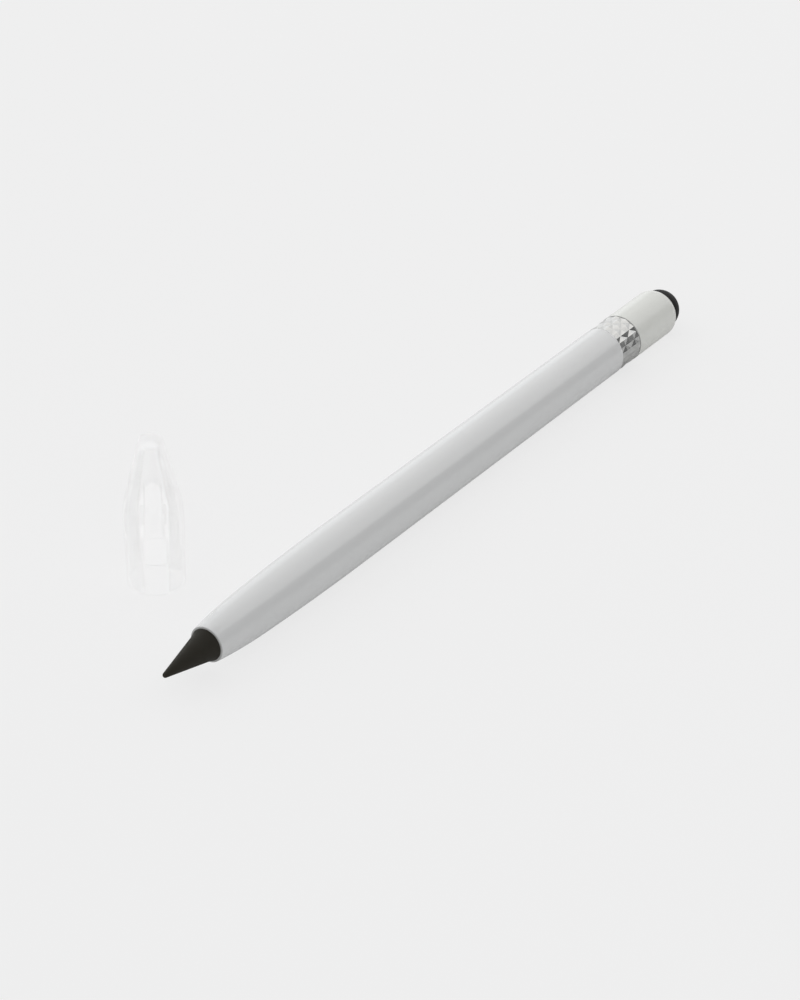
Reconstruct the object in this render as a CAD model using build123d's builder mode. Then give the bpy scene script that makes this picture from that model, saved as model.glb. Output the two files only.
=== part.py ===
"""Inkless metal pencil with a screw-in nib, a diamond-cut ring, an eraser and a clear cap taken off.

Millimetres, +Z up. The pencil lies along X with its nib towards -X. The origin is on its axis, in the
middle of the barrel's straight stretch, and the table is one barrel radius below.
"""
import os
from math import acos, atan2, cos, hypot, pi, sin, sqrt

from build123d import *

# Barrel: a tube drawn in to a long convex nose
barrel_radius = 4.6
barrel_straight = 81.0
barrel_wall = 0.7
nose_length = 38.0
nose_tip_length = 11.0
nose_shoulder_drop = 0.48
nose_drop = 1.4
lip_rounding = 0.15
tail_edge_rounding = 0.12

# Nib: a cone with a round point and a flared base
nib_length = 10.9
nib_point_radius = 0.46
nib_flare_length = 1.35
nib_flare_rise = 0.44
nib_rim_length = 0.15
nib_lip = 0.34

# Threaded stud in the nib
stud_radius = 1.2
stud_in_nib = 3.4
stud_in_bush = 6.6
stud_chamfer = 0.3

# Bush wedged in the nose, with the hole that takes the stud
bush_recess = 0.4
bush_length = 10.0
bush_chamfer = 0.25

# Ring of diamond facets
ring_length = 6.1
facet_depth = 0.15
diamonds_along = 2
diamonds_around = 14
diamond_turn = 52.5

# Sleeve at the tail
sleeve_length = 13.6
sleeve_crown_length = 1.55
sleeve_edge_flat = 0.1
sleeve_front_rounding = 0.15

# Plug that joins barrel, ring and sleeve
plug_in_barrel = 9.0
plug_in_sleeve = 6.2
plug_rib_height = 0.2
plug_rib_width = 0.8
plug_ribs = 8
plug_wall = 1.2
plug_floor = 1.6
plug_chamfer = 0.5

# Eraser with a round end
eraser_stick_out = 4.35
eraser_chamfer = 0.4

# Cap: a clear moulding that reaches over the nose, here standing on its mouth beside it
cap_behind_mouth = 15.7
cap_beside_axis = 23.0
cap_reach = 14.1
cap_tip_room = 1.0
cap_top_thickness = 1.5
cap_wall = 0.9
cap_lip_wall = 0.55
cap_draft = 0.2
cap_belly_height = 12.0
cap_crown_radius = 1.9
cap_crown_rounding = 0.7
cap_mouth_bore_depth = 5.7
cap_mouth_rounding = 0.15
cap_dimple_radius = 1.0
cap_dimple_depth = 0.25

# Ribs inside the cap that close on the nose
rib_count = 6
rib_turn = 10.0
rib_width = 0.9
rib_below_lip = 3.6
rib_above_lip = 2.5
rib_lead_in = 2.2

# Clearances
press_gap = 0.02
thread_gap = 0.05
ring_gap = 0.1
eraser_gap = 0.05
eraser_end_gap = 0.1
cap_mouth_gap = 0.23
rib_gap = 0.2

# Places along the axis, from nib to tail
nose_back = -barrel_straight / 2
mouth = nose_back - nose_length
nib_tip = mouth - nib_length
barrel_end = barrel_straight / 2
ring_end = barrel_end + ring_length
sleeve_front = ring_end + ring_gap
plug_end = sleeve_front + plug_in_sleeve
sleeve_end = sleeve_front + sleeve_length

# Radii that pieces share
nose_shoulder_radius = barrel_radius - nose_shoulder_drop
mouth_radius = barrel_radius - nose_drop
bore_radius = barrel_radius - barrel_wall

os.makedirs("parts", exist_ok=True)


def barrel_section(inset):
    """Half section of the barrel's outline down to its axis, drawn in by inset."""
    with BuildSketch(Plane.XZ) as section:
        with BuildLine():
            side = Line((barrel_end, barrel_radius - inset), (nose_back, barrel_radius - inset))
            shoulder_end = (mouth + nose_tip_length, nose_shoulder_radius - inset)
            shoulder = TangentArc(side @ 1, shoulder_end, tangent=side % 1)
            tip = TangentArc(shoulder @ 1, (mouth, mouth_radius - inset), tangent=shoulder % 1)
            Polyline(tip @ 1, (mouth, 0), (barrel_end, 0), side @ 0)
        make_face()
    return section.sketch


# Barrel, open at both ends
with BuildPart() as barrel:
    revolve(barrel_section(0), axis=Axis.X)
    fillet(barrel.faces().sort_by(Axis.X)[0].edges(), lip_rounding)
    fillet(barrel.faces().sort_by(Axis.X)[-1].edges(), tail_edge_rounding)
    revolve(barrel_section(barrel_wall), axis=Axis.X, mode=Mode.SUBTRACT)
barrel.part.label = "barrel"
export_step(barrel.part, "parts/barrel.step")

# Nose bush, shaped to the inside of the nose so that it can't pull through the mouth
bush_front = mouth + bush_recess
with BuildPart() as nose_bush:
    revolve(barrel_section(barrel_wall + press_gap), axis=Axis.X)
    split(bisect_by=Plane.YZ.offset(bush_front), keep=Keep.TOP)
    split(bisect_by=Plane.YZ.offset(bush_front + bush_length), keep=Keep.BOTTOM)
    with BuildSketch(Plane.YZ.offset(bush_front)):
        Circle(stud_radius + thread_gap)
    extrude(amount=bush_length, mode=Mode.SUBTRACT)
    chamfer(nose_bush.faces().sort_by(Axis.X)[0].inner_wires()[0].edges(), bush_chamfer)
nose_bush.part.label = "nose_bush"
export_step(nose_bush.part, "parts/nose_bush.step")

# Nib: the point is part of a sphere that the cone touches without an edge
nib_base_radius = mouth_radius - nib_lip
neck_radius = nib_base_radius - nib_flare_rise
flare_end = mouth - nib_rim_length
neck = flare_end - nib_flare_length
cone_run = neck - nib_tip - nib_point_radius
cone_angle = acos(nib_point_radius / hypot(neck_radius, cone_run)) - atan2(cone_run, neck_radius)
point_rise = nib_point_radius * (1 - sin(cone_angle))
with BuildPart() as nib_cone:
    with BuildSketch(Plane.XZ):
        with BuildLine():
            point_edge = (nib_tip + point_rise, nib_point_radius * cos(cone_angle))
            point = TangentArc((nib_tip, 0), point_edge, tangent=(0, 1))
            cone = Line(point @ 1, (neck, neck_radius))
            flare = TangentArc(cone @ 1, (flare_end, nib_base_radius), tangent=cone % 1)
            Polyline(flare @ 1, (mouth, nib_base_radius), (mouth, 0), point @ 0)
        make_face()
    revolve(axis=Axis.X)
    with BuildSketch(Plane.YZ.offset(mouth)):
        Circle(stud_radius + press_gap)
    extrude(amount=-stud_in_nib, mode=Mode.SUBTRACT)
nib_cone.part.label = "nib_cone"
export_step(nib_cone.part, "parts/nib_cone.step")

# Stud, bonded into the nib and screwed into the bush
with BuildPart() as nib_stud:
    with BuildSketch(Plane.YZ.offset(mouth - stud_in_nib)):
        Circle(stud_radius)
    extrude(amount=stud_in_nib + stud_in_bush)
    chamfer(nib_stud.faces().sort_by(Axis.X)[-1].edges(), stud_chamfer)
nib_stud.part.label = "nib_stud"
export_step(nib_stud.part, "parts/nib_stud.step")

# Plug: a hollow moulding with ribs that grip the bores of barrel, ring and sleeve
plug_radius = bore_radius - press_gap
plug_core_radius = plug_radius - plug_rib_height
plug_front = barrel_end - plug_in_barrel
plug_length = plug_end - plug_front
with BuildPart() as tail_plug:
    with BuildSketch(Plane.YZ.offset(plug_front)):
        Circle(plug_core_radius)
    extrude(amount=plug_length)
    chamfer(tail_plug.edges().filter_by(GeomType.CIRCLE), plug_chamfer)
    with BuildSketch(Plane.YZ.offset(plug_front + plug_chamfer)):
        with PolarLocations(plug_core_radius, plug_ribs):
            Rectangle(2 * plug_rib_height, plug_rib_width)
        Circle(plug_radius, mode=Mode.INTERSECT)
    extrude(amount=plug_length - 2 * plug_chamfer)
    with BuildSketch(Plane.YZ.offset(plug_front)):
        Circle(plug_core_radius - plug_wall)
    extrude(amount=plug_length - plug_floor, mode=Mode.SUBTRACT)
tail_plug.part.label = "tail_plug"
export_step(tail_plug.part, "parts/tail_plug.step")

# Ring: rows of four-sided pyramids with their peaks flush with the barrel, every other row set off by
# half a diamond
ring_stations = 2 * diamonds_along
half_turns = 2 * diamonds_around


def ring_point(station, half_turn):
    """Corner of the facets: peaks and valleys take turns along the ring and around it."""
    is_peak = (station + half_turn) % 2
    radius = barrel_radius if is_peak else barrel_radius - facet_depth
    angle = pi * (diamond_turn / 180 + half_turn / diamonds_around)
    place = barrel_end + ring_length * station / ring_stations
    return (place, -radius * sin(angle), radius * cos(angle))


def flat_face(*corners):
    """Flat face with straight sides between the corners."""
    return Face(Wire.make_polygon(corners, close=True))


facets = []
for station in range(ring_stations):
    for half_turn in range(half_turns):
        near = ring_point(station, half_turn)
        far = ring_point(station + 1, half_turn)
        near_next = ring_point(station, half_turn + 1)
        far_next = ring_point(station + 1, half_turn + 1)
        if (station + half_turn) % 2:
            facets.append(flat_face(far, near_next, near))
            facets.append(flat_face(far, near_next, far_next))
        else:
            facets.append(flat_face(near, far_next, far))
            facets.append(flat_face(near, far_next, near_next))
for station in (0, ring_stations):
    facets.append(flat_face(*[ring_point(station, half_turn) for half_turn in range(half_turns)]))

with BuildPart() as diamond_ring:
    add(Solid(Shell(facets)))
    with BuildSketch(Plane.YZ.offset(barrel_end)):
        Circle(bore_radius)
    extrude(amount=ring_length, mode=Mode.SUBTRACT)
diamond_ring.part.label = "diamond_ring"
export_step(diamond_ring.part, "parts/diamond_ring.step")

# Sleeve: a tube flush with the barrel, whose end curves in to the eraser
with BuildPart() as tail_sleeve:
    with BuildSketch(Plane.XZ):
        with BuildLine():
            side = Line((sleeve_front, barrel_radius), (sleeve_end - sleeve_crown_length, barrel_radius))
            crown = TangentArc(side @ 1, (sleeve_end, bore_radius + sleeve_edge_flat), tangent=side % 1)
            Polyline(crown @ 1, (sleeve_end, bore_radius), (sleeve_front, bore_radius), side @ 0)
        make_face()
    revolve(axis=Axis.X)
    fillet(tail_sleeve.faces().sort_by(Axis.X)[0].outer_wire().edges(), sleeve_front_rounding)
tail_sleeve.part.label = "tail_sleeve"
export_step(tail_sleeve.part, "parts/tail_sleeve.step")

# Eraser: a round-ended plug of rubber pushed into the sleeve
eraser_radius = bore_radius - eraser_gap
eraser_front = plug_end + eraser_end_gap
eraser_tip = sleeve_end + eraser_stick_out
with BuildPart() as eraser:
    with BuildSketch(Plane.XZ):
        with BuildLine():
            side = Line((eraser_front, eraser_radius), (eraser_tip - eraser_radius, eraser_radius))
            dome = TangentArc(side @ 1, (eraser_tip, 0), tangent=side % 1)
            Polyline(dome @ 1, (eraser_front, 0), side @ 0)
        make_face()
    revolve(axis=Axis.X)
    chamfer(eraser.faces().sort_by(Axis.X)[0].edges(), eraser_chamfer)
eraser.part.label = "eraser"
export_step(eraser.part, "parts/eraser.step")

# Cap: its wall is straight up to the belly and then one long curve to the top
cap_height = cap_reach + nib_length + cap_tip_room + cap_top_thickness
cap_mouth_bore_radius = nose_shoulder_radius + cap_mouth_gap
cap_mouth_radius = cap_mouth_bore_radius + cap_lip_wall
cap_belly_radius = cap_mouth_radius + cap_draft
crown_drop = cap_belly_radius - cap_crown_radius
crown_rise = cap_height - cap_belly_height
cap_curve_radius = (crown_drop**2 + crown_rise**2) / (2 * crown_drop)
cap_foot = (mouth + cap_behind_mouth, cap_beside_axis, -barrel_radius)
cap_floor = Plane(cap_foot)
cap_side = Plane(cap_foot, x_dir=(1, 0, 0), z_dir=(0, -1, 0))
cap_axis = Axis(cap_foot, (0, 0, 1))


def cap_radius(inset, height):
    """Radius of the cap's curve at a height above the belly, drawn in by inset."""
    curve_radius = cap_curve_radius - inset
    curve_centre = cap_belly_radius - cap_curve_radius
    return curve_centre + sqrt(curve_radius**2 - (height - cap_belly_height) ** 2)


def cap_section(inset, top):
    """Half section of the cap up to the height top, drawn in by inset."""
    with BuildSketch(cap_side) as section:
        with BuildLine():
            wall = Line((cap_mouth_radius - inset, 0), (cap_belly_radius - inset, cap_belly_height))
            curve = TangentArc(wall @ 1, (cap_radius(inset, top), top), tangent=(0, 1))
            Polyline(curve @ 1, (0, top), (0, 0), wall @ 0)
        make_face()
    return section.sketch


rib_circle_radius = mouth_radius + rib_gap
rib_foot = cap_reach - rib_below_lip
rib_top = cap_reach + rib_above_lip
rib_root_radius = cap_radius(cap_wall / 2, rib_top)
with BuildPart() as clear_cap:
    revolve(cap_section(0, cap_height), axis=cap_axis)
    fillet(clear_cap.faces().sort_by(Axis.Z)[-1].edges(), cap_crown_rounding)
    fillet(clear_cap.faces().sort_by(Axis.Z)[0].edges(), cap_mouth_rounding)
    with BuildSketch(cap_floor.offset(cap_height)):
        Circle(cap_dimple_radius)
    extrude(amount=-cap_dimple_depth, mode=Mode.SUBTRACT)
    revolve(cap_section(cap_wall, cap_height - cap_top_thickness), axis=cap_axis, mode=Mode.SUBTRACT)
    with BuildSketch(cap_floor):
        Circle(cap_mouth_bore_radius)
    extrude(amount=cap_mouth_bore_depth, mode=Mode.SUBTRACT)
    with BuildSketch(cap_floor.offset(rib_foot)):
        with PolarLocations((rib_circle_radius + rib_root_radius) / 2, rib_count, rib_turn):
            Rectangle(rib_root_radius - rib_circle_radius, rib_width)
    extrude(amount=rib_top - rib_foot)
    with BuildSketch(cap_side):
        with BuildLine():
            slope = Line((cap_mouth_radius - cap_wall, rib_foot), (rib_circle_radius, rib_foot + rib_lead_in))
            Polyline(slope @ 1, (0, rib_foot + rib_lead_in), (0, rib_foot), slope @ 0)
        make_face()
    revolve(axis=cap_axis, mode=Mode.SUBTRACT)
clear_cap.part.label = "clear_cap"
export_step(clear_cap.part, "parts/clear_cap.step")
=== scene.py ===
"""Looks of an inkless pencil lying on a pale table, with its clear cap standing beside it.

Metres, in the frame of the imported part: the pencil lies along X with its nib towards -X, and +Z is up.
"""

import bpy
import numpy as np
from mathutils import Matrix, Vector


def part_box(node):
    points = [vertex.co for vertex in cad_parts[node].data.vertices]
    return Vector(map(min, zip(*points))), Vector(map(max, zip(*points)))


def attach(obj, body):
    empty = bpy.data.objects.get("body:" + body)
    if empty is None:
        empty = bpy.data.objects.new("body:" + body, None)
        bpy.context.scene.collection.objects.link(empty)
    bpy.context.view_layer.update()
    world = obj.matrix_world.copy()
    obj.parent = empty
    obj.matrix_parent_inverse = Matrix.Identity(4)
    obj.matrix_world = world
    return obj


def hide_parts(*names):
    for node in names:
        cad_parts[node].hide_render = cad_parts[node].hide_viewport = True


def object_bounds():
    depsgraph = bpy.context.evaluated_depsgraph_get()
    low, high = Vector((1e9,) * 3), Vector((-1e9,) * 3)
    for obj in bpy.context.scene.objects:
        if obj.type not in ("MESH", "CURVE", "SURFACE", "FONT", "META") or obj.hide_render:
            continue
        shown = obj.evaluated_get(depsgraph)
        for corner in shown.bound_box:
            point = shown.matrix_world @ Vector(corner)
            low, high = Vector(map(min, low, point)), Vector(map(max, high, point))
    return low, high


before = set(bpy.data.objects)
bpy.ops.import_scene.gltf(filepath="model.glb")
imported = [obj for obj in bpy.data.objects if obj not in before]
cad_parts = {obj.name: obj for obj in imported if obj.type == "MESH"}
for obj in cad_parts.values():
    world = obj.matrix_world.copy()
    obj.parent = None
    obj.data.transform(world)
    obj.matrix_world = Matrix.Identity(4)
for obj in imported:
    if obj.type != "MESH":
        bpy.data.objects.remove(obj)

cad_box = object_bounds()

# Barrel
# A drawn aluminium tube whose nose is swaged to a long convex taper. It is sprayed with white gloss lacquer
# outside, painted a darker grey at the lip, and its bore stays bare. Bush and plug are pressed into it.
barrel_low, barrel_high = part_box("barrel")
mouth = barrel_low.x
barrel_end = barrel_high.x
barrel_radius = 0.0046
barrel_wall = 0.0007
nose_length = 0.038
nose_tip_length = 0.011
nose_shoulder_drop = 0.00048
nose_drop = 0.0014
lip_rounding = 0.00015
tail_edge_rounding = 0.00012
bore_edge_rounding = 0.00005
pencil_sides = 192
lacquer_shade = (0.833, 0.837, 0.834)
lacquer_light = (0.85, 0.851, 0.846)
lip_grey = (0.45, 0.45, 0.44)

nose_back = mouth + nose_length
mouth_radius = barrel_radius - nose_drop
bore_radius = barrel_radius - barrel_wall
towards_nib = (-1.0, 0.0)


def straight(start, end, steps=1):
    """Points on the straight line between two ends, at equal steps."""
    share = np.linspace(0, 1, steps + 1)[:, None]
    return np.array(start) + share * (np.array(end) - np.array(start))


def tangent_arc(start, heading, end, steps):
    """Points on the circle that leaves start along heading and passes through end.

    The heading and the chord to the end differ by half the arc's turn. At a share s of the arc, the chord
    from the start has turned by s of that angle, and its length goes with the sine of s times the angle.
    """
    start, heading, end = np.array(start), np.array(heading), np.array(end)
    chord = end - start
    cross = heading[0] * chord[1] - heading[1] * chord[0]
    angle = np.arctan2(cross, heading @ chord)
    turned = angle * np.linspace(0, 1, steps + 1)
    length = np.linalg.norm(chord) * np.sin(turned) / np.sin(angle)
    across = np.array([-heading[1], heading[0]]) / np.linalg.norm(heading)
    ahead = heading / np.linalg.norm(heading)
    return start + length[:, None] * (np.cos(turned)[:, None] * ahead + np.sin(turned)[:, None] * across)


def rounded(first, second, radius, steps=6):
    """Two stretches that meet in a corner, joined by an arc of that radius.

    Each stretch is cut back from the corner by the radius times the tangent of half the turn. It keeps one
    more point at twice that distance, so that its shading stays even up to the rounding, and none nearer.
    """
    corner = first[-1]
    ahead = (first[-1] - first[-2]) / np.linalg.norm(first[-1] - first[-2])
    leaving = (second[1] - second[0]) / np.linalg.norm(second[1] - second[0])
    turn = np.arccos(np.clip(ahead @ leaving, -1, 1))
    cut = radius * np.tan(turn / 2)
    crowded = 2.2 * cut
    before = first[np.linalg.norm(first - corner, axis=1) > crowded]
    after = second[np.linalg.norm(second - corner, axis=1) > crowded]
    arc = tangent_arc(corner - cut * ahead, ahead, corner + cut * leaving, steps)
    return np.vstack([before, corner - 2 * cut * ahead, arc, corner + 2 * cut * leaving, after])


def around_axis(place, radius, angle):
    """Points by their place on the pencil's axis, distance from it and angle round it.

    The angle starts straight up and goes towards -Y: Y is minus the radius times the angle's sine, and Z is
    the radius times its cosine.
    """
    return np.stack(np.broadcast_arrays(place, -radius * np.sin(angle), radius * np.cos(angle)), axis=-1)


def turned(profile, sides):
    """Grid of points of an outline (place on the axis, radius) carried round the pencil's axis.

    An outline that runs from nib to tail has its faces outwards.
    """
    angle = np.linspace(0, 2 * np.pi, sides, endpoint=False)
    return around_axis(profile[:, :1], profile[:, 1:], angle)


def skin(name, grid, loops=False):
    """Object of a grid of points that closes round its columns, and round its rows too where it loops.

    Each cell is one face. A row whose points all coincide is a pole, with one vertex and triangles round it.
    """
    rows, columns = grid.shape[:2]
    index = np.arange(rows * columns).reshape(rows, columns)
    poles = np.ptp(grid, axis=1).max(axis=1) < 1e-9
    index[poles] = index[poles, :1]
    used, index = np.unique(index, return_inverse=True)
    index = index.reshape(rows, columns)
    low, high = (index, np.roll(index, -1, axis=0)) if loops else (index[:-1], index[1:])
    cells = np.stack([low, np.roll(low, -1, axis=1), np.roll(high, -1, axis=1), high], axis=-1).reshape(-1, 4)
    starts_at_pole = cells[:, 0] == cells[:, 1]
    ends_at_pole = cells[:, 2] == cells[:, 3]
    faces = cells[~starts_at_pole & ~ends_at_pole].tolist()
    faces += cells[starts_at_pole][:, [0, 2, 3]].tolist()
    faces += cells[ends_at_pole][:, [0, 1, 2]].tolist()
    return shown(name, grid.reshape(-1, 3)[used], faces)


def shown(name, points, faces, sharp_angle=np.radians(40)):
    """Object of points and faces, shaded smooth but for edges that turn by more than the sharp angle."""
    mesh = bpy.data.meshes.new(name)
    mesh.from_pydata(points.tolist(), [], faces)
    mesh.shade_smooth()
    mesh.set_sharp_from_angle(angle=sharp_angle)
    piece = bpy.data.objects.new(name, mesh)
    bpy.context.scene.collection.objects.link(piece)
    return piece


class Socket:
    """A socket of a material's nodes. Maths on it adds Math nodes, and node() adds a node of any type."""

    def __init__(self, tree, source):
        self.tree = tree
        self.source = source

    def node(self, kind, settings, inputs, output=0):
        """Adds a node, sets it up, gives each input its value or link, and returns one of its outputs."""
        made = self.tree.nodes.new(kind)
        for setting, value in settings.items():
            setattr(made, setting, value)
        for name, value in inputs.items():
            if isinstance(value, Socket):
                self.tree.links.new(value.source, made.inputs[name])
            else:
                made.inputs[name].default_value = value
        return Socket(self.tree, made.outputs[output] if made.outputs else None)

    def maths(self, operation, first, second=0.0):
        """Adds a Math node for an operation on two numbers or sockets."""
        return self.node("ShaderNodeMath", {"operation": operation}, {0: first, 1: second})

    def share(self, value):
        """The value, kept between 0 and 1."""
        return self.maths("MINIMUM", self.maths("MAXIMUM", value, 0.0), 1.0)

    def __add__(self, other):
        return self.maths("ADD", self, other)

    def __sub__(self, other):
        return self.maths("SUBTRACT", self, other)

    def __rsub__(self, other):
        return self.maths("SUBTRACT", other, self)

    def __mul__(self, other):
        return self.maths("MULTIPLY", self, other)

    def __truediv__(self, other):
        return self.maths("DIVIDE", self, other)

    def __gt__(self, other):
        return self.maths("GREATER_THAN", self, other)

    def __lt__(self, other):
        return self.maths("LESS_THAN", self, other)

    __radd__ = __add__
    __rmul__ = __mul__


def finish(name):
    """A new material and the socket of its object coordinates."""
    material = bpy.data.materials.new(name)
    material.use_nodes = True
    material.node_tree.nodes.clear()
    start = Socket(material.node_tree, None)
    return material, start.node("ShaderNodeTexCoord", {}, {}, "Object")


def surface(coordinates, sockets):
    """Ends a material in a shader with these sockets."""
    shader = coordinates.node("ShaderNodeBsdfPrincipled", {}, sockets)
    coordinates.node("ShaderNodeOutputMaterial", {}, {"Surface": shader})


def noise(coordinates, size, detail=2.0):
    """Cloudy noise from 0 to 1 whose blotches are about this size."""
    inputs = {"Vector": coordinates, "Scale": 1 / size, "Detail": detail}
    return coordinates.node("ShaderNodeTexNoise", {}, inputs)


def mixed(factor, first, second):
    """Colour that goes from the first to the second, each a plain colour or a socket, with the factor.

    The Mix node's sockets for colours are its inputs 6 and 7 and its output 2.
    """
    first, second = (colour if isinstance(colour, Socket) else (*colour, 1) for colour in (first, second))
    return factor.node("ShaderNodeMix", {"data_type": "RGBA"}, {0: factor, 6: first, 7: second}, 2)


def bumps(height, depth):
    """Normal of a surface raised by height, from 0 to 1, times a depth in metres."""
    return height.node("ShaderNodeBump", {}, {"Height": height, "Distance": depth, "Strength": 1.0})


def off_axis(coordinates):
    """Distance from the pencil's axis."""
    flat = coordinates.node(
        "ShaderNodeVectorMath", {"operation": "MULTIPLY"}, {0: coordinates, 1: (0, 1, 1)})
    return flat.node("ShaderNodeVectorMath", {"operation": "LENGTH"}, {0: flat}, "Value")


def along(coordinates):
    """Place along the pencil's axis."""
    return coordinates.node("ShaderNodeSeparateXYZ", {}, {0: coordinates}, "X")


def fitted(piece, material, node, body):
    """The piece stands for a node, moves with its body and takes its finish from a slot."""
    piece.data.materials.append(material)
    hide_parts(node)
    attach(piece, body)


def nose_line(inset):
    """Outline of the nose from the mouth back to the straight barrel, drawn in by an inset.

    Two arcs that touch: a long one off the straight side, and a shorter, rounder one on to the mouth.
    """
    side = (nose_back, barrel_radius - inset)
    shoulder = (mouth + nose_tip_length, barrel_radius - nose_shoulder_drop - inset)
    long_arc = tangent_arc(side, towards_nib, shoulder, steps=40)
    short_arc = tangent_arc(shoulder, long_arc[-1] - long_arc[-2], (mouth, mouth_radius - inset), steps=30)
    return np.vstack([long_arc, short_arc[1:]])[::-1]


barrel_side = straight((nose_back, barrel_radius), (barrel_end, barrel_radius), steps=30)
barrel_bore = straight((barrel_end, bore_radius), (nose_back, bore_radius))
outside = np.vstack([nose_line(0), barrel_side[1:]])
inside = np.vstack([barrel_bore, nose_line(barrel_wall)[-2::-1]])
lip = straight(inside[-1], outside[0])
tail_face = straight(outside[-1], inside[0])
barrel_outline = rounded(rounded(lip, outside, lip_rounding), tail_face, tail_edge_rounding)
barrel_outline = rounded(rounded(barrel_outline, inside, bore_edge_rounding), lip, bore_edge_rounding)
lacquered_barrel = skin("lacquered_barrel", turned(barrel_outline[1:-1], pencil_sides), loops=True)

# Metal shows from the middle of the lip inwards, and the wider bore further back is shut in and never seen
lacquer, spot = finish("white_lacquer")
clouds = noise(spot, size=0.012)
peel = noise(spot, size=0.0007, detail=1.0)
bare = off_axis(spot) < mouth_radius - 0.5 * barrel_wall
# Over the lip the lacquer is painted a darker grey
at_lip = spot.share((mouth + lip_rounding - along(spot)) / lip_rounding)
surface(spot, {
    "Base Color": mixed(at_lip, mixed(clouds, lacquer_shade, lacquer_light), lip_grey),
    "Roughness": 0.22 + 0.06 * clouds,
    "Metallic": bare,
    "Normal": bumps(peel, depth=0.000004),
    "Coat Weight": 0.6,
    "Coat Roughness": 0.06,
})
fitted(lacquered_barrel, lacquer, "barrel", "pencil")

# Nose bush
# A brass turning shaped to the inside of the nose, so that a nib screwed tight draws it into the taper and
# can't pull it through the mouth. Its hole is tapped for the nib's stud and has a small chamfer in front.
bush_low, bush_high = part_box("nose_bush")
bush_gap = 0.00002
bush_hole_radius = 0.00125
bush_chamfer = 0.00025
thread_pitch = 0.00045
thread_depth = 0.0002
thread_sides = 64
steps_per_pitch = 12
brass_shade = (0.72, 0.53, 0.25)
brass_light = (0.8, 0.62, 0.32)


def thread(place, angle):
    """Height of a thread's ridge, from 0 at its root to 1 at its crest.

    The ridge climbs one pitch in each turn. Its flanks are straight, with flat crests and roots between them.
    """
    phase = np.mod(place / thread_pitch - angle / (2 * np.pi), 1.0)
    return np.clip(1.5 - 4 * np.abs(phase - 0.5), 0, 1)


def faded(place, start, end, run):
    """0 at both ends of a stretch, rising to 1 within a run from each end."""
    return np.clip(np.minimum(place - start, end - place) / run, 0, 1)


bush_rows = int(steps_per_pitch * (bush_high.x - bush_low.x) / thread_pitch)
hole_place = np.linspace(bush_high.x, bush_low.x, bush_rows)[:, None]
thread_angle = np.linspace(0, 2 * np.pi, thread_sides, endpoint=False)
groove_fade = faded(hole_place, bush_low.x, bush_high.x, bush_chamfer)
groove = thread_depth * thread(hole_place, thread_angle) * groove_fade
hole_flare = np.clip(bush_low.x + bush_chamfer - hole_place, 0, None)
hole_radius = np.maximum(bush_hole_radius + groove, bush_hole_radius + hole_flare)
nose_inside = nose_line(barrel_wall + bush_gap)
in_bush = (nose_inside[:, 0] > bush_low.x) & (nose_inside[:, 0] < bush_high.x)
bush_end_radius = np.interp([bush_low.x, bush_high.x], nose_inside[:, 0], nose_inside[:, 1])
bush_side = np.vstack([
    (bush_low.x, bush_end_radius[0]),
    nose_inside[in_bush],
    (bush_high.x, bush_end_radius[1]),
])
side_grid = turned(bush_side, thread_sides)
hole_grid = around_axis(hole_place, hole_radius, thread_angle)
threaded_bush = skin("threaded_bush", np.concatenate([side_grid, hole_grid]), loops=True)

brass, spot = finish("bush_brass")
turning = noise(spot, size=0.0004)
surface(spot, {
    "Base Color": mixed(turning, brass_shade, brass_light),
    "Roughness": 0.25 + 0.15 * turning,
    "Metallic": 1.0,
})
fitted(threaded_bush, brass, "nose_bush", "pencil")

# Nib
# A cone of graphite alloy with a round point and a flared base, cast and then turned smooth. It leaves a
# pencil line as it wears. Its flat back, which holds the stud, sits against the barrel's lip.
nib_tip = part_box("nib_cone")[0].x
nib_point_radius = 0.00046
nib_flare_length = 0.00135
nib_flare_rise = 0.00044
nib_rim_length = 0.00015
nib_lip = 0.00034
nib_rim_rounding = 0.00005
lathe_feed = 0.00022
stud_low, stud_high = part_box("nib_stud")
stud_radius = 0.0012
stud_gap = 0.00002
graphite_shade = (0.0272, 0.0248, 0.019)
graphite_light = (0.0332, 0.0301, 0.0232)

nib_base_radius = mouth_radius - nib_lip
nib_hole_radius = stud_radius + stud_gap
neck_radius = nib_base_radius - nib_flare_rise
flare_end = mouth - nib_rim_length
neck = flare_end - nib_flare_length
outwards = (0.0, 1.0)

# The cone touches the point's ball and goes through the neck, which gives the angle of its side
cone_run = neck - nib_tip - nib_point_radius
ball_to_neck = np.hypot(neck_radius, cone_run)
cone_angle = np.arccos(nib_point_radius / ball_to_neck) - np.arctan2(cone_run, neck_radius)
point_edge = (nib_tip + nib_point_radius * (1 - np.sin(cone_angle)), nib_point_radius * np.cos(cone_angle))
cone_heading = np.array((neck, neck_radius)) - np.array(point_edge)
nib_side = np.vstack([
    tangent_arc((nib_tip, 0), outwards, point_edge, steps=16),
    straight(point_edge, (neck, neck_radius), steps=24)[1:],
    tangent_arc((neck, neck_radius), cone_heading, (flare_end, nib_base_radius), steps=16)[1:],
])
nib_rim = straight((flare_end, nib_base_radius), (mouth, nib_base_radius))
nib_back = straight((mouth, nib_base_radius), (mouth, nib_hole_radius))
nib_hole = straight((mouth, nib_hole_radius), (stud_low.x, nib_hole_radius))
nib_outline = rounded(rounded(nib_side, nib_rim, nib_rim_rounding), nib_back, nib_rim_rounding)
nib_outline = np.vstack([rounded(nib_outline, nib_hole, nib_rim_rounding), (stud_low.x, 0)])
graphite_nib = skin("graphite_nib", turned(nib_outline, pencil_sides))

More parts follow.
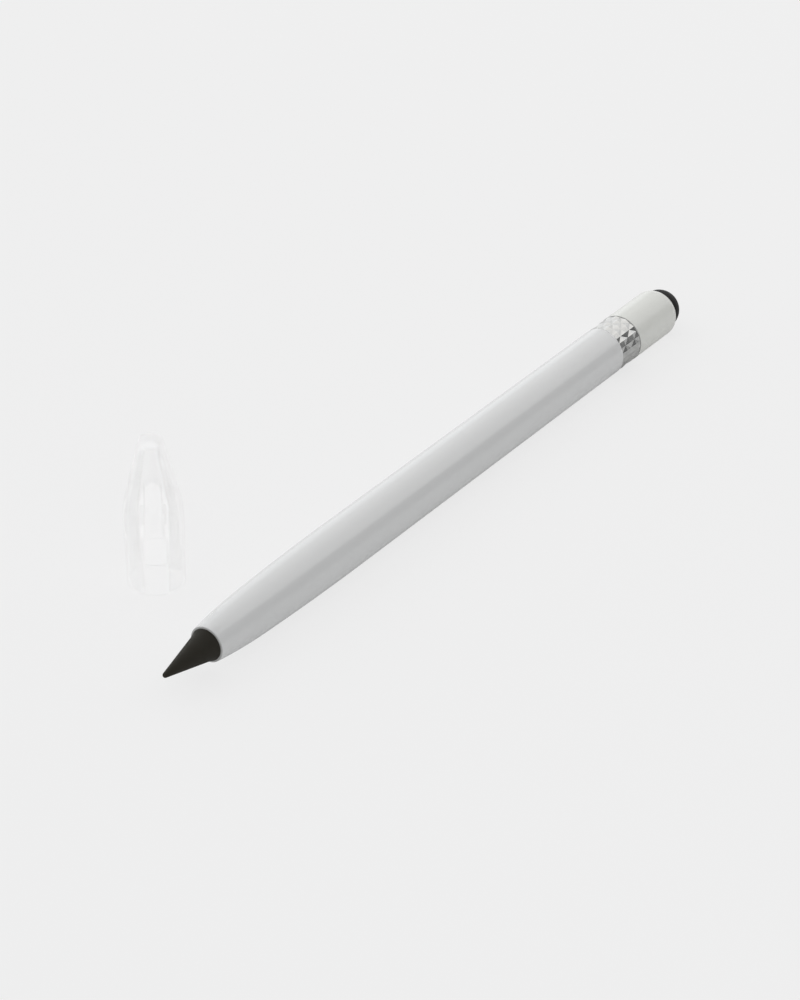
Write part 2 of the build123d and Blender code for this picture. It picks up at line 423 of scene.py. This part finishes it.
graphite, spot = finish("graphite_alloy")
grain = noise(spot, size=0.00012, detail=3.0)
smear = noise(spot, size=0.0016)
lathe_turn = along(spot) * (2 * np.pi / lathe_feed)
lathe = lathe_turn.maths("SINE", lathe_turn)
surface(spot, {
    "Base Color": mixed(smear, graphite_shade, graphite_light),
    "Roughness": 0.55 + 0.12 * grain,
    "Specular IOR Level": 0.15,
    "Normal": bumps(0.75 * grain + 0.25 * lathe, depth=0.000006),
})
fitted(graphite_nib, graphite, "nib_cone", "nib")

# Nib stud
# A steel stud bonded into the back of the nib. Its rolled thread screws into the bush, so that a worn nib can
# be taken out and a new one screwed in.
stud_chamfer = 0.0003
shank_run = 0.0006
steel_shade = (0.5, 0.5, 0.5)
steel_light = (0.62, 0.62, 0.61)

shank_radius = stud_radius - thread_depth
stud_rows = int(steps_per_pitch * (stud_high.x - mouth) / thread_pitch)
stud_place = np.linspace(mouth, stud_high.x, stud_rows)[:, None]
ridge_fade = faded(stud_place, mouth, stud_high.x + shank_run, shank_run)
ridge = thread(stud_place, thread_angle + np.pi) * ridge_fade
stud_crest = np.minimum(stud_radius, stud_radius - stud_chamfer + stud_high.x - stud_place)
ridge_radius = np.minimum(stud_radius - thread_depth * (1 - ridge), stud_crest)
threaded_stud = skin("threaded_stud", np.concatenate([
    around_axis(stud_low.x, 0, thread_angle)[None],
    around_axis(stud_low.x, shank_radius, thread_angle)[None],
    around_axis(stud_place, ridge_radius, thread_angle),
    around_axis(stud_high.x, 0, thread_angle)[None],
]))

steel, spot = finish("stud_steel")
rolling = noise(spot, size=0.0003)
surface(spot, {
    "Base Color": mixed(rolling, steel_shade, steel_light),
    "Roughness": 0.28 + 0.14 * rolling,
    "Metallic": 1.0,
})
fitted(threaded_stud, steel, "nib_stud", "nib")

# Tail plug
# A hollow black moulding with eight grip ribs, pressed into barrel, ring and sleeve to hold the three in
# line. Only its end shows, at the bottom of the sleeve when the eraser is out.
plug_shade = (0.018, 0.018, 0.018)
plug_light = (0.03, 0.03, 0.03)

plug_plastic, spot = finish("plug_plastic")
spark = noise(spot, size=0.0002)
surface(spot, {
    "Base Color": mixed(spark, plug_shade, plug_light),
    "Roughness": 0.5 + 0.2 * spark,
    "Normal": bumps(spark, depth=0.00001),
})
tail_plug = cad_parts["tail_plug"]
tail_plug.data.materials.clear()
tail_plug.data.materials.append(plug_plastic)

# Diamond ring
# A plated ring between barrel and sleeve, rolled with two staggered rows of four-sided pyramids whose facets
# are bright, with painted shade towards the valleys. It is pressed on to the plug up to the barrel's end.
ring_low, ring_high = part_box("diamond_ring")
facet_depth = 0.00015
diamonds_along = 2
diamonds_around = 14
diamond_turn = np.radians(52.5)
facet_rounding = 0.00002
facet_crease = np.radians(4)
rounded_crease = np.radians(6)
bore_share = 4
peak_plating = (0.635, 0.635, 0.623)
shaded_valley_plating = (0.57, 0.57, 0.559)

# Corners: peaks and valleys take turns along and around, and the valleys lie deeper by the facets' depth
ring_stations = 2 * diamonds_along
half_turns = 2 * diamonds_around
station = np.arange(ring_stations + 1)[:, None]
half_turn = np.arange(half_turns)[None, :]
is_peak = (station + half_turn) % 2
corner_radius = barrel_radius - facet_depth * (1 - is_peak)
corner_angle = diamond_turn + np.pi * half_turn / diamonds_around
corner_place = ring_low.x + (ring_high.x - ring_low.x) * station / ring_stations
corners = around_axis(corner_place, corner_radius, corner_angle)
bore_angle = diamond_turn + 2 * np.pi * np.arange(half_turns * bore_share) / (half_turns * bore_share)
bore_ends = np.array([ring_low.x, ring_high.x])[:, None]
bore_circles = around_axis(bore_ends, bore_radius, bore_angle)

# Corner numbers, and the facets: each cell between four corners is cut from valley to valley
corner = np.arange((ring_stations + 1) * half_turns).reshape(ring_stations + 1, half_turns)
near, far = corner[:-1], corner[1:]
near_next, far_next = np.roll(near, -1, axis=1), np.roll(far, -1, axis=1)
odd = is_peak[:-1, :, None] == 1
first_facet = np.where(
    odd, np.stack([near, near_next, far], -1), np.stack([near, far_next, far], -1))
second_facet = np.where(
    odd, np.stack([near_next, far_next, far], -1), np.stack([near, near_next, far_next], -1))

# End faces and bore: every corner of an end fans out to its share of the bore's finer circle
bore_start = corner.size + np.arange(half_turns * bore_share).reshape(half_turns, bore_share)
bore_next = np.roll(bore_start.ravel(), -1).reshape(half_turns, bore_share)
bore_size = bore_start.size
fan_corner = np.repeat(corner[0][:, None], bore_share, axis=1)
front_fan = np.stack([fan_corner, bore_start, bore_next], axis=-1)
front_gap = np.stack([corner[0], bore_next[:, -1], np.roll(corner[0], -1)], axis=-1)
end_shift = corner[-1][0] - corner[0][0]
back_fan = np.stack([fan_corner + end_shift, bore_next + bore_size, bore_start + bore_size], axis=-1)
back_gap = np.stack([corner[-1], np.roll(corner[-1], -1), bore_next[:, -1] + bore_size], axis=-1)
bore_faces = np.stack([
    bore_start.ravel(),
    bore_start.ravel() + bore_size,
    bore_next.ravel() + bore_size,
    bore_next.ravel(),
], axis=-1)
ring_faces = [faces.reshape(-1, faces.shape[-1]).tolist() for faces in (
    first_facet, second_facet, front_fan, front_gap, back_fan, back_gap, bore_faces)]
faceted_ring = shown(
    "faceted_ring",
    np.concatenate([corners.reshape(-1, 3), bore_circles.reshape(-1, 3)]),
    sum(ring_faces, []),
    sharp_angle=facet_crease,
)
facet_edges = faceted_ring.modifiers.new("facet_edges", "BEVEL")
facet_edges.width = facet_rounding
facet_edges.segments = 2
facet_edges.limit_method = "ANGLE"
facet_edges.angle_limit = rounded_crease
facet_edges.harden_normals = True

plating, spot = finish("ring_metal")
polish = noise(spot, size=0.0005)
# Towards the valleys the plating is painted darker, as shade in the recesses between the pyramids
valley_shade = (barrel_radius - off_axis(spot)) / facet_depth
surface(spot, {
    "Base Color": mixed(valley_shade, peak_plating, shaded_valley_plating),
    "Roughness": 0.18 + 0.06 * polish,
    "Metallic": 1.0,
    "Normal": bumps(polish, depth=0.000003),
})
fitted(faceted_ring, plating, "diamond_ring", "pencil")

# Tail sleeve
# A white plastic moulding, a little warmer than the lacquer, pushed on to the plug until a fine joint is left
# at the ring, where its soft edge is painted a darker grey. Its end curves in to the eraser.
sleeve_low, sleeve_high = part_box("tail_sleeve")
sleeve_crown_length = 0.00155
sleeve_edge_flat = 0.0001
sleeve_front_rounding = 0.00015
sleeve_end_rounding = 0.00003
joint_line = 0.0001
sleeve_shade = (0.884, 0.889, 0.845)
sleeve_light = (0.899, 0.903, 0.858)
joint_darkening = (0.5, 0.5, 0.485)

crown_start = (sleeve_high.x - sleeve_crown_length, barrel_radius)
crown_end = (sleeve_high.x, bore_radius + sleeve_edge_flat)
towards_tail = (1.0, 0.0)
sleeve_side = np.vstack([
    straight((sleeve_low.x, barrel_radius), crown_start, steps=12),
    tangent_arc(crown_start, towards_tail, crown_end, steps=24)[1:],
])
sleeve_end = straight(sleeve_side[-1], (sleeve_high.x, bore_radius))
sleeve_bore = straight((sleeve_high.x, bore_radius), (sleeve_low.x, bore_radius))
sleeve_front = straight((sleeve_low.x, bore_radius), (sleeve_low.x, barrel_radius))
sleeve_outline = rounded(sleeve_front, sleeve_side, sleeve_front_rounding)
sleeve_outline = rounded(sleeve_outline, sleeve_end, sleeve_end_rounding)
sleeve_outline = rounded(sleeve_outline, sleeve_bore, sleeve_end_rounding)
sleeve_outline = rounded(sleeve_outline, sleeve_front, bore_edge_rounding)
moulded_sleeve = skin("moulded_sleeve", turned(sleeve_outline[1:-1], pencil_sides), loops=True)

sleeve_plastic, spot = finish("sleeve_plastic")
flow = noise(spot, size=0.004)
mould = noise(spot, size=0.00025, detail=1.0)
# Along its front edge at the joint the plastic is painted a darker grey
in_joint = along(spot) < sleeve_low.x + joint_line
surface(spot, {
    "Base Color": mixed(in_joint, mixed(flow, sleeve_shade, sleeve_light), joint_darkening),
    "Roughness": 0.2 + 0.06 * mould,
    "Normal": bumps(mould, depth=0.000001),
    "Coat Weight": 0.1,
    "Coat Roughness": 0.06,
})
fitted(moulded_sleeve, sleeve_plastic, "tail_sleeve", "pencil")

# Eraser
# A plug of black rubber with a round end, pushed into the sleeve's bore and held by friction, so that it can
# be pulled out. Handling leaves a little dust in its fine grain.
eraser_low, eraser_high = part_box("eraser")
eraser_radius = 0.00385
eraser_chamfer = 0.0004
rubber_black = (0.004, 0.004, 0.004)
dusty_black = (0.009, 0.009, 0.0085)

dome_start = (eraser_high.x - eraser_radius, eraser_radius)
eraser_outline = np.vstack([
    (eraser_low.x, 0),
    (eraser_low.x, eraser_radius - eraser_chamfer),
    straight((eraser_low.x + eraser_chamfer, eraser_radius), dome_start, steps=8),
    tangent_arc(dome_start, towards_tail, (eraser_high.x, 0), steps=40)[1:],
])
rubber_eraser = skin("rubber_eraser", turned(eraser_outline, pencil_sides))

rubber, spot = finish("eraser_rubber")
pores = noise(spot, size=0.00018, detail=3.0)
dust = noise(spot, size=0.0012)
surface(spot, {
    "Base Color": mixed(dust, rubber_black, dusty_black),
    "Roughness": 0.5 + 0.2 * pores,
    "Specular IOR Level": 0.25,
    "Normal": bumps(pores, depth=0.000008),
})
fitted(rubber_eraser, rubber, "eraser", "eraser")

# Clear cap
# A clear moulding with a wall of about a millimetre, which narrows over a soft shoulder to a flat top with a
# dimple. Its mouth goes over the barrel's shoulder, and six ribs inside close on the nose. Here it stands on
# its mouth beside the pencil.
cap_low, cap_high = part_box("clear_cap")
cap_wall = 0.0009
cap_mouth_radius = 0.0049
cap_belly_radius = 0.0051
cap_belly_height = 0.012
cap_shoulder_rise = 0.005
cap_shoulder_drop = 0.00058
cap_crown_rounding = 0.0006
cap_top_thickness = 0.0015
cap_mouth_bore_radius = 0.00435
cap_mouth_bore_depth = 0.0057
cap_mouth_rounding = 0.00015
cap_dimple_radius = 0.001
cap_dimple_depth = 0.00025
cap_roof_rounding = 0.00032
cap_fine_rounding = 0.00008
rib_count = 6
rib_turn = np.radians(10)
rib_width = 0.0009
rib_circle_radius = 0.0034
rib_foot = 0.0105
rib_lead_in = 0.0022
rib_top = 0.0166
rib_fillet = 0.00006
rib_root_share = 0.98
columns_on_rib = 7
columns_on_wall = 20
clear_shade = (0.99, 0.992, 0.99)
clear_light = (0.996, 0.997, 0.995)

cap_x, cap_y = (cap_low.x + cap_high.x) / 2, (cap_low.y + cap_high.y) / 2
cap_height = cap_high.z - cap_low.z
hollow_top = cap_height - cap_top_thickness
shoulder_turn = 2 * np.arctan(cap_shoulder_drop / cap_shoulder_rise)
shoulder_radius = cap_shoulder_rise / np.sin(shoulder_turn)


def cap_line(inset, foot, top, steps):
    """Outline of the cap's wall between two heights, drawn in by an inset.

    It is straight up to the belly. There a circle that is upright at the belly turns it inwards, up to the
    shoulder's turn, and above that it is a straight cone at that turn.
    """
    height = np.unique(np.append(np.linspace(foot, top, steps + 1), cap_belly_height))
    lean = (cap_belly_radius - cap_mouth_radius) / cap_belly_height
    straight_part = cap_mouth_radius + lean * height - inset
    arc_radius = shoulder_radius - inset
    above_belly = np.maximum(height - cap_belly_height, 0)
    on_arc = np.minimum(above_belly, arc_radius * np.sin(shoulder_turn))
    arc = cap_belly_radius - shoulder_radius + np.sqrt(arc_radius**2 - on_arc**2)
    cone = arc - (above_belly - on_arc) * np.tan(shoulder_turn)
    radius = np.where(height < cap_belly_height, straight_part, cone)
    return np.column_stack([radius, height])


cap_outside = cap_line(0, 0, cap_height, steps=60)
cap_hollow = cap_line(cap_wall, cap_mouth_bore_depth, hollow_top, steps=60)
rib_rows = (rib_foot - rib_fillet, rib_foot, rib_foot + rib_lead_in, rib_top - rib_fillet, rib_top)
inside_height = np.unique(np.concatenate([cap_hollow[:, 1], rib_rows]))[::-1]
inside_radius = np.interp(inside_height, cap_hollow[:, 1], cap_hollow[:, 0])
cap_inside = np.column_stack([inside_radius, inside_height])
hollow_roof = np.array([(0, hollow_top), cap_inside[0]])
bore_step = straight(cap_inside[-1], (cap_mouth_bore_radius, cap_mouth_bore_depth))
mouth_bore = straight(bore_step[-1], (cap_mouth_bore_radius, 0), steps=6)
rim = straight((cap_mouth_bore_radius, 0), cap_outside[0])
crown_flat = straight(cap_outside[-1], (cap_dimple_radius, cap_height))
dimple_wall = straight(crown_flat[-1], (cap_dimple_radius, cap_height - cap_dimple_depth))
dimple_floor = straight(dimple_wall[-1], (0, cap_height - cap_dimple_depth))
cap_outline = hollow_roof
for stretch, rounding in (
    (cap_inside, cap_roof_rounding),
    (bore_step, cap_fine_rounding),
    (mouth_bore, cap_fine_rounding),
    (rim, cap_fine_rounding),
    (cap_outside, cap_mouth_rounding),
    (crown_flat, cap_crown_rounding),
    (dimple_wall, cap_fine_rounding),
    (dimple_floor, cap_fine_rounding),
):
    cap_outline = rounded(cap_outline, stretch, rounding)

# Columns round the cap: a rib's crest, its two roots, and the wall up to the next rib
rib_half_angle = np.arcsin(rib_width / 2 / rib_circle_radius)
root_half_angle = np.arcsin(rib_width / 2 / (cap_belly_radius - cap_wall))
rib_pitch = 2 * np.pi / rib_count
crest = np.linspace(-1, 1, columns_on_rib)
wall_angle = np.linspace(root_half_angle, rib_pitch - root_half_angle, columns_on_wall)
flat_angle = np.concatenate([rib_root_share * root_half_angle * crest, wall_angle])
raised_angle = np.concatenate([rib_half_angle * crest, wall_angle])
on_rib = np.concatenate([np.ones(columns_on_rib), np.zeros(columns_on_wall)])
rib_start = rib_turn + rib_pitch * np.arange(rib_count)[:, None]
flat_angle = (rib_start + flat_angle).ravel()
raised_angle = (rib_start + raised_angle).ravel()
on_rib = np.tile(on_rib, rib_count)

# Rows of the hollow between a rib's foot and top lift their rib columns from the wall to the rib's crest
radius, height = cap_outline[:, :1], cap_outline[:, 1:]
hollow_end = np.argmin(np.abs(cap_outline - bore_step[0]).sum(axis=1))
on_inside = (np.arange(len(cap_outline)) <= hollow_end)[:, None]
in_rib_rows = on_inside & (height > rib_foot - 0.5 * rib_fillet) & (height < rib_top - 0.5 * rib_fillet)
lead_in = np.clip((height - rib_foot) / rib_lead_in, 0, 1)
rib_radius = (1 - lead_in) * (cap_mouth_radius - cap_wall) + lead_in * rib_circle_radius
lift = in_rib_rows * on_rib
cap_radius = radius + lift * (rib_radius - radius)
cap_angle = flat_angle + lift * (raised_angle - flat_angle)
cap_grid = np.stack([
    cap_x + cap_radius * np.cos(cap_angle),
    cap_y + cap_radius * np.sin(cap_angle),
    cap_low.z + height + 0 * cap_angle,
], axis=-1)
clear_moulding = skin("clear_moulding", cap_grid)

clear, spot = finish("clear_plastic")
haze = noise(spot, size=0.003)
surface(spot, {
    "Base Color": mixed(haze, clear_shade, clear_light),
    "Roughness": 0.02 + 0.04 * haze,
    "IOR": 1.49,
    "Alpha": 0.15,
    "Transmission Weight": 1.0,
})
fitted(clear_moulding, clear, "clear_cap", "cap")

# Table, light and camera
# A plain pale table under one long softbox, in a dim room with a bright backdrop behind the pencil, a bright
# panel past its eraser and a softer fill on the nib's side. The table looks nearly even to the camera, keeps
# a soft shadow, and is brighter in mirrors behind the pencil than in front of it.
table_half = 60.0
table_height = cad_box[0].z
table_colour = (0.82, 0.82, 0.82)
table_glow = (0.9265, 0.9255, 0.926)
table_glow_seen = 0.8
table_glow_in_front = 0.06
table_glow_behind = 0.55
table_glow_bounced = 0.18
pale_grey = (0.863, 0.863, 0.863)
room_tint = (0.99, 1.0, 1.01)
wall_light = 0.18
backdrop_light = 1.24
backdrop_edge = 0.45
backdrop_blur = 0.1
fill_light = 0.85
fill_edge = 0.1
fill_blur = 0.3
panel_light = 1.1
panel_edge = 0.77
panel_front = 0.37
panel_top = 0.5
panel_blur = 0.05
softbox_length = 1.92
softbox_width = 1.0
softbox_distance = 1.55
softbox_direction = Vector((0.68, -0.045, 0.73)).normalized()
softbox_radiance = 1.06
softbox_colour = (1.0, 0.99, 0.978)
camera_aim = Vector((-0.02461, 0.000195, 0.000073))
camera_distance = 0.5387
camera_turn = np.radians(-54.97)
camera_rise = np.radians(31.23)
camera_lens = 113.4
camera_near_limit = 0.01

table_corners = np.array([(-1, -1), (1, -1), (1, 1), (-1, 1)]) * table_half
table = shown("table", np.column_stack([table_corners, np.full(4, table_height)]), [[0, 1, 2, 3]])
table_top, spot = finish("table_top")
from_camera, from_mirror, glass_depth = (spot.node("ShaderNodeLightPath", {}, {}, ray) for ray in (
    "Is Camera Ray", "Is Glossy Ray", "Transmission Depth"))
seen = spot.maths("MAXIMUM", from_camera, glass_depth > 0.5) * table_glow_seen
behind_pencil = spot.node("ShaderNodeSeparateXYZ", {}, {0: spot}, "Y") > 0
mirrored = table_glow_in_front + (table_glow_behind - table_glow_in_front) * behind_pencil
unseen = table_glow_bounced + from_mirror * (mirrored - table_glow_bounced)
glow_share = spot.maths("MAXIMUM", seen, unseen)
lit = spot.node("ShaderNodeBsdfDiffuse", {}, {"Color": (*table_colour, 1)})
glow = spot.node("ShaderNodeEmission", {}, {"Color": (*table_glow, 1)})
blend = spot.node("ShaderNodeMixShader", {}, {0: glow_share, 1: lit, 2: glow})
spot.node("ShaderNodeOutputMaterial", {}, {"Surface": blend})
table.data.materials.append(table_top)

softbox_lamp = bpy.data.lights.new("softbox", "AREA")
softbox_lamp.shape = "RECTANGLE"
softbox_lamp.color = softbox_colour
softbox_lamp.size = softbox_width
softbox_lamp.size_y = softbox_length
softbox_lamp.energy = softbox_radiance * np.pi * softbox_length * softbox_width
softbox = bpy.data.objects.new("softbox", softbox_lamp)
across_pencil = Vector((1, 0, 0)).cross(softbox_direction).normalized()
softbox_axes = (across_pencil.cross(softbox_direction), across_pencil, softbox_direction)
softbox.location = softbox_direction * softbox_distance
softbox.rotation_mode = "QUATERNION"
softbox.rotation_quaternion = Matrix(softbox_axes).transposed().to_quaternion()
bpy.context.scene.collection.objects.link(softbox)

room = bpy.data.worlds.new("room")
room.use_nodes = True
room.node_tree.nodes.clear()
bearing = Socket(room.node_tree, None).node("ShaderNodeTexCoord", {}, {}, "Generated")
to_right, to_back, upwards = (
    bearing.node("ShaderNodeSeparateXYZ", {}, {0: bearing}, axis) for axis in "XYZ")
behind = bearing.share((to_back - backdrop_edge) / backdrop_blur)
beside_nib = bearing.share((-fill_edge - to_right) / fill_blur)
past_eraser = bearing.share((to_right - panel_edge) / panel_blur)
past_eraser = past_eraser * bearing.share((to_back + panel_front) / panel_blur)
past_eraser = past_eraser * bearing.share((panel_top - upwards) / panel_blur)
light = wall_light + (backdrop_light - wall_light) * behind
light = light + (fill_light - light) * beside_nib
light = light + (panel_light - light) * past_eraser
from_camera, glass_depth = (bearing.node("ShaderNodeLightPath", {}, {}, ray) for ray in (
    "Is Camera Ray", "Transmission Depth"))
seen = bearing.maths("MAXIMUM", from_camera, glass_depth > 0.5)
dim = bearing.node("ShaderNodeBackground", {}, {"Color": (*room_tint, 1), "Strength": light})
pale = bearing.node("ShaderNodeBackground", {}, {"Color": (*pale_grey, 1)})
walls = bearing.node("ShaderNodeMixShader", {}, {0: seen, 1: dim, 2: pale})
bearing.node("ShaderNodeOutputWorld", {}, {"Surface": walls})
bpy.context.scene.world = room

camera_back = Vector((
    np.sin(camera_turn) * np.cos(camera_rise),
    -np.cos(camera_turn) * np.cos(camera_rise),
    np.sin(camera_rise),
))
camera = bpy.data.objects.new("camera", bpy.data.cameras.new("camera"))
camera.data.lens = camera_lens
camera.data.clip_start = camera_near_limit
camera.location = camera_aim + camera_back * camera_distance
camera.rotation_mode = "QUATERNION"
camera.rotation_quaternion = camera_back.to_track_quat("Z", "Y")
bpy.context.scene.collection.objects.link(camera)
bpy.context.scene.camera = camera
bpy.context.scene.view_settings.view_transform = "Standard"
